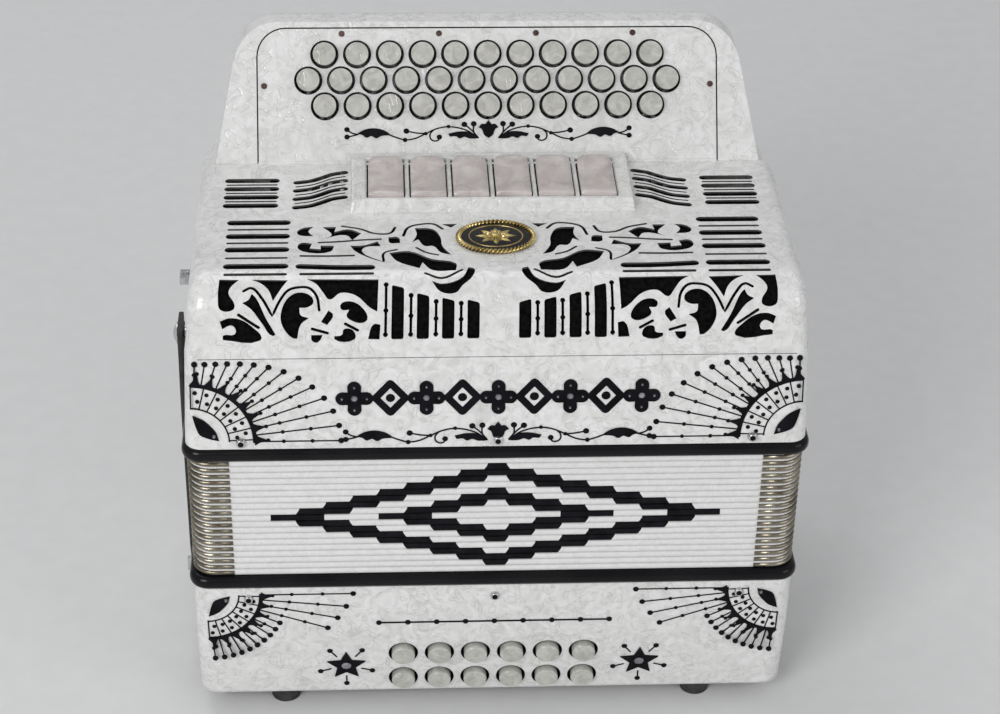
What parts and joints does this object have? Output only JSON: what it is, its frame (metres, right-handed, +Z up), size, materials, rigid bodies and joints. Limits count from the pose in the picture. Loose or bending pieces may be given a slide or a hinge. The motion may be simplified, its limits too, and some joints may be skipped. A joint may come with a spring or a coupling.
{
  "type": "button accordion",
  "caption": "three-row diatonic button accordion with pearl cases, a pleated bellows that opens, pressing treble and bass buttons, register tabs, a pierced grille and straps",
  "frame": {"origin": "on the floor under the middle of the instrument, which stands closed on the feet of its bass end", "axes": "+X along the long side, to the right seen from the grille side; +Y towards the player's side; +Z up along the bellows"},
  "size_m": [0.3372, 0.2, 0.3345],
  "materials": {
    "pearl_case": "pearl white celluloid, polished, with soft swirled mottling",
    "black_trim": "black celluloid, polished",
    "end_plate": "black celluloid",
    "rubber": "matte black rubber",
    "leather": "black leather with fine grain",
    "chrome": "bright plated",
    "wood": "plain maple, oiled",
    "guide": "drilled bar, satin",
    "pearl_button": "grey-beige mother-of-pearl look, polished",
    "pearl_tab": "pink-grey pearl, polished",
    "bellows_card": "folded card covered with white pearl cloth and black tape",
    "corner_metal": "nickel-plated folded sheet",
    "cloth": "open black mesh",
    "badge": "polished gold tone with black enamel",
    "steel": "ground rod",
    "key_metal": "stamped lever with a pearl button and a felted pallet"
  },
  "bodies": {
    "bass_end": {"bass_case": "pearl_case", "bass_end_plate": "end_plate", "feet": "rubber", "hand_strap": "leather", "strap_anchors": "chrome", "bass_soundboard": "wood", "bass_reed_blocks": "wood", "bellows_frame_bass": "black_trim", "bellows_screws_bass": "chrome", "bass_button_guide": "guide"},
    "treble_end": {"bellows_folds": "bellows_card", "bellows_corners": "corner_metal", "bellows_frame_treble": "black_trim", "bellows_screws_treble": "chrome", "treble_case": "pearl_case", "treble_soundboard": "wood", "treble_reed_blocks": "wood", "grille_cover": "pearl_case", "grille_cloth": "cloth", "medallion": "badge", "register_rail": "chrome", "fingerboard_body": "pearl_case", "fingerboard_plate": "pearl_case", "fingerboard_screws": "chrome", "key_axle": "steel", "shoulder_strap_lugs": "chrome", "bellows_strap_studs": "chrome"},
    "air_key": {"air_button": "pearl_button"},
    "strap_left": {"bellows_strap_left": "leather"},
    "strap_right": {"bellows_strap_right": "leather"},
    "bass_key_01": {"bass_button_01": "pearl_button"},
    "bass_key_02": {"bass_button_02": "pearl_button"},
    "bass_key_03": {"bass_button_03": "pearl_button"},
    "bass_key_04": {"bass_button_04": "pearl_button"},
    "bass_key_05": {"bass_button_05": "pearl_button"},
    "bass_key_06": {"bass_button_06": "pearl_button"},
    "bass_key_07": {"bass_button_07": "pearl_button"},
    "bass_key_08": {"bass_button_08": "pearl_button"},
    "bass_key_09": {"bass_button_09": "pearl_button"},
    "bass_key_10": {"bass_button_10": "pearl_button"},
    "bass_key_11": {"bass_button_11": "pearl_button"},
    "bass_key_12": {"bass_button_12": "pearl_button"},
    "key_column_01": {"treble_keys_01": "key_metal"},
    "key_column_02": {"treble_keys_02": "key_metal"},
    "key_column_03": {"treble_keys_03": "key_metal"},
    "key_column_04": {"treble_keys_04": "key_metal"},
    "key_column_05": {"treble_keys_05": "key_metal"},
    "key_column_06": {"treble_keys_06": "key_metal"},
    "key_column_07": {"treble_keys_07": "key_metal"},
    "key_column_08": {"treble_keys_08": "key_metal"},
    "key_column_09": {"treble_keys_09": "key_metal"},
    "key_column_10": {"treble_keys_10": "key_metal"},
    "key_column_11": {"treble_keys_11": "key_metal"},
    "key_column_12": {"treble_keys_12": "key_metal"},
    "tab_1": {"register_tab_1": "pearl_tab"},
    "tab_2": {"register_tab_2": "pearl_tab"},
    "tab_3": {"register_tab_3": "pearl_tab"},
    "tab_4": {"register_tab_4": "pearl_tab"},
    "tab_5": {"register_tab_5": "pearl_tab"},
    "tab_6": {"register_tab_6": "pearl_tab"}
  },
  "joints": [
    {"name": "bellows_open", "type": "slide", "parent": "bass_end", "child": "treble_end", "axis": [0, 0, 1], "range_m": [0, 0.35], "deforming": ["bellows_folds", "bellows_corners"]},
    {"name": "air_press", "type": "slide", "parent": "bass_end", "child": "air_key", "axis": [0, -0.9877, 0.1564], "range_m": [0, 0.0025], "stiffness_N_per_m": 400, "springref_m": -0.003},
    {"name": "strap_left_swing", "type": "hinge", "parent": "bass_end", "child": "strap_left", "pos_m": [-0.1652, -0.024, 0.06], "axis": [0, -1, 0], "range_deg": [0, 95]},
    {"name": "strap_right_swing", "type": "hinge", "parent": "bass_end", "child": "strap_right", "pos_m": [0.1652, -0.024, 0.06], "axis": [0, 1, 0], "range_deg": [0, 95]},
    {"name": "bass_press_01", "type": "slide", "parent": "bass_end", "child": "bass_key_01", "axis": [0, 0.9877, 0.1564], "range_m": [0, 0.003], "stiffness_N_per_m": 350, "springref_m": -0.003},
    {"name": "bass_press_02", "type": "slide", "parent": "bass_end", "child": "bass_key_02", "axis": [0, 0.9877, 0.1564], "range_m": [0, 0.003], "stiffness_N_per_m": 350, "springref_m": -0.003},
    {"name": "bass_press_03", "type": "slide", "parent": "bass_end", "child": "bass_key_03", "axis": [0, 0.9877, 0.1564], "range_m": [0, 0.003], "stiffness_N_per_m": 350, "springref_m": -0.003},
    {"name": "bass_press_04", "type": "slide", "parent": "bass_end", "child": "bass_key_04", "axis": [0, 0.9877, 0.1564], "range_m": [0, 0.003], "stiffness_N_per_m": 350, "springref_m": -0.003},
    {"name": "bass_press_05", "type": "slide", "parent": "bass_end", "child": "bass_key_05", "axis": [0, 0.9877, 0.1564], "range_m": [0, 0.003], "stiffness_N_per_m": 350, "springref_m": -0.003},
    {"name": "bass_press_06", "type": "slide", "parent": "bass_end", "child": "bass_key_06", "axis": [0, 0.9877, 0.1564], "range_m": [0, 0.003], "stiffness_N_per_m": 350, "springref_m": -0.003},
    {"name": "bass_press_07", "type": "slide", "parent": "bass_end", "child": "bass_key_07", "axis": [0, 0.9877, 0.1564], "range_m": [0, 0.003], "stiffness_N_per_m": 350, "springref_m": -0.003},
    {"name": "bass_press_08", "type": "slide", "parent": "bass_end", "child": "bass_key_08", "axis": [0, 0.9877, 0.1564], "range_m": [0, 0.003], "stiffness_N_per_m": 350, "springref_m": -0.003},
    {"name": "bass_press_09", "type": "slide", "parent": "bass_end", "child": "bass_key_09", "axis": [0, 0.9877, 0.1564], "range_m": [0, 0.003], "stiffness_N_per_m": 350, "springref_m": -0.003},
    {"name": "bass_press_10", "type": "slide", "parent": "bass_end", "child": "bass_key_10", "axis": [0, 0.9877, 0.1564], "range_m": [0, 0.003], "stiffness_N_per_m": 350, "springref_m": -0.003},
    {"name": "bass_press_11", "type": "slide", "parent": "bass_end", "child": "bass_key_11", "axis": [0, 0.9877, 0.1564], "range_m": [0, 0.003], "stiffness_N_per_m": 350, "springref_m": -0.003},
    {"name": "bass_press_12", "type": "slide", "parent": "bass_end", "child": "bass_key_12", "axis": [0, 0.9877, 0.1564], "range_m": [0, 0.003], "stiffness_N_per_m": 350, "springref_m": -0.003},
    {"name": "key_press_01", "type": "hinge", "parent": "treble_end", "child": "key_column_01", "pos_m": [0, 0.05033, 0.26417], "axis": [-1, 0, 0], "range_deg": [0, 4], "stiffness_Nm_per_rad": 2, "springref_deg": -4.58},
    {"name": "key_press_02", "type": "hinge", "parent": "treble_end", "child": "key_column_02", "pos_m": [0, 0.05033, 0.26417], "axis": [-1, 0, 0], "range_deg": [0, 4], "stiffness_Nm_per_rad": 2, "springref_deg": -4.58},
    {"name": "key_press_03", "type": "hinge", "parent": "treble_end", "child": "key_column_03", "pos_m": [0, 0.05033, 0.26417], "axis": [-1, 0, 0], "range_deg": [0, 4], "stiffness_Nm_per_rad": 2, "springref_deg": -4.58},
    {"name": "key_press_04", "type": "hinge", "parent": "treble_end", "child": "key_column_04", "pos_m": [0, 0.05033, 0.26417], "axis": [-1, 0, 0], "range_deg": [0, 4], "stiffness_Nm_per_rad": 2, "springref_deg": -4.58},
    {"name": "key_press_05", "type": "hinge", "parent": "treble_end", "child": "key_column_05", "pos_m": [0, 0.05033, 0.26417], "axis": [-1, 0, 0], "range_deg": [0, 4], "stiffness_Nm_per_rad": 2, "springref_deg": -4.58},
    {"name": "key_press_06", "type": "hinge", "parent": "treble_end", "child": "key_column_06", "pos_m": [0, 0.05033, 0.26417], "axis": [-1, 0, 0], "range_deg": [0, 4], "stiffness_Nm_per_rad": 2, "springref_deg": -4.58},
    {"name": "key_press_07", "type": "hinge", "parent": "treble_end", "child": "key_column_07", "pos_m": [0, 0.05033, 0.26417], "axis": [-1, 0, 0], "range_deg": [0, 4], "stiffness_Nm_per_rad": 2, "springref_deg": -4.58},
    {"name": "key_press_08", "type": "hinge", "parent": "treble_end", "child": "key_column_08", "pos_m": [0, 0.05033, 0.26417], "axis": [-1, 0, 0], "range_deg": [0, 4], "stiffness_Nm_per_rad": 2, "springref_deg": -4.58},
    {"name": "key_press_09", "type": "hinge", "parent": "treble_end", "child": "key_column_09", "pos_m": [0, 0.05033, 0.26417], "axis": [-1, 0, 0], "range_deg": [0, 4], "stiffness_Nm_per_rad": 2, "springref_deg": -4.58},
    {"name": "key_press_10", "type": "hinge", "parent": "treble_end", "child": "key_column_10", "pos_m": [0, 0.05033, 0.26417], "axis": [-1, 0, 0], "range_deg": [0, 4], "stiffness_Nm_per_rad": 2, "springref_deg": -4.58},
    {"name": "key_press_11", "type": "hinge", "parent": "treble_end", "child": "key_column_11", "pos_m": [0, 0.05033, 0.26417], "axis": [-1, 0, 0], "range_deg": [0, 4], "stiffness_Nm_per_rad": 2, "springref_deg": -4.58},
    {"name": "key_press_12", "type": "hinge", "parent": "treble_end", "child": "key_column_12", "pos_m": [0, 0.05033, 0.26417], "axis": [-1, 0, 0], "range_deg": [0, 4], "stiffness_Nm_per_rad": 2, "springref_deg": -4.58},
    {"name": "tab_rock_1", "type": "hinge", "parent": "treble_end", "child": "tab_1", "pos_m": [-0.05575, 0.0305, 0.2745], "axis": [1, 0, 0], "range_deg": [0, 5], "stiffness_Nm_per_rad": 0.3, "springref_deg": -5.73},
    {"name": "tab_rock_2", "type": "hinge", "parent": "treble_end", "child": "tab_2", "pos_m": [-0.03345, 0.0305, 0.2745], "axis": [1, 0, 0], "range_deg": [0, 5], "stiffness_Nm_per_rad": 0.3, "springref_deg": -5.73},
    {"name": "tab_rock_3", "type": "hinge", "parent": "treble_end", "child": "tab_3", "pos_m": [-0.01115, 0.0305, 0.2745], "axis": [1, 0, 0], "range_deg": [0, 5], "stiffness_Nm_per_rad": 0.3, "springref_deg": -5.73},
    {"name": "tab_rock_4", "type": "hinge", "parent": "treble_end", "child": "tab_4", "pos_m": [0.01115, 0.0305, 0.2745], "axis": [1, 0, 0], "range_deg": [0, 5], "stiffness_Nm_per_rad": 0.3, "springref_deg": -5.73},
    {"name": "tab_rock_5", "type": "hinge", "parent": "treble_end", "child": "tab_5", "pos_m": [0.03345, 0.0305, 0.2745], "axis": [1, 0, 0], "range_deg": [0, 5], "stiffness_Nm_per_rad": 0.3, "springref_deg": -5.73},
    {"name": "tab_rock_6", "type": "hinge", "parent": "treble_end", "child": "tab_6", "pos_m": [0.05575, 0.0305, 0.2745], "axis": [1, 0, 0], "range_deg": [0, 5], "stiffness_Nm_per_rad": 0.3, "springref_deg": -5.73}
  ]
}
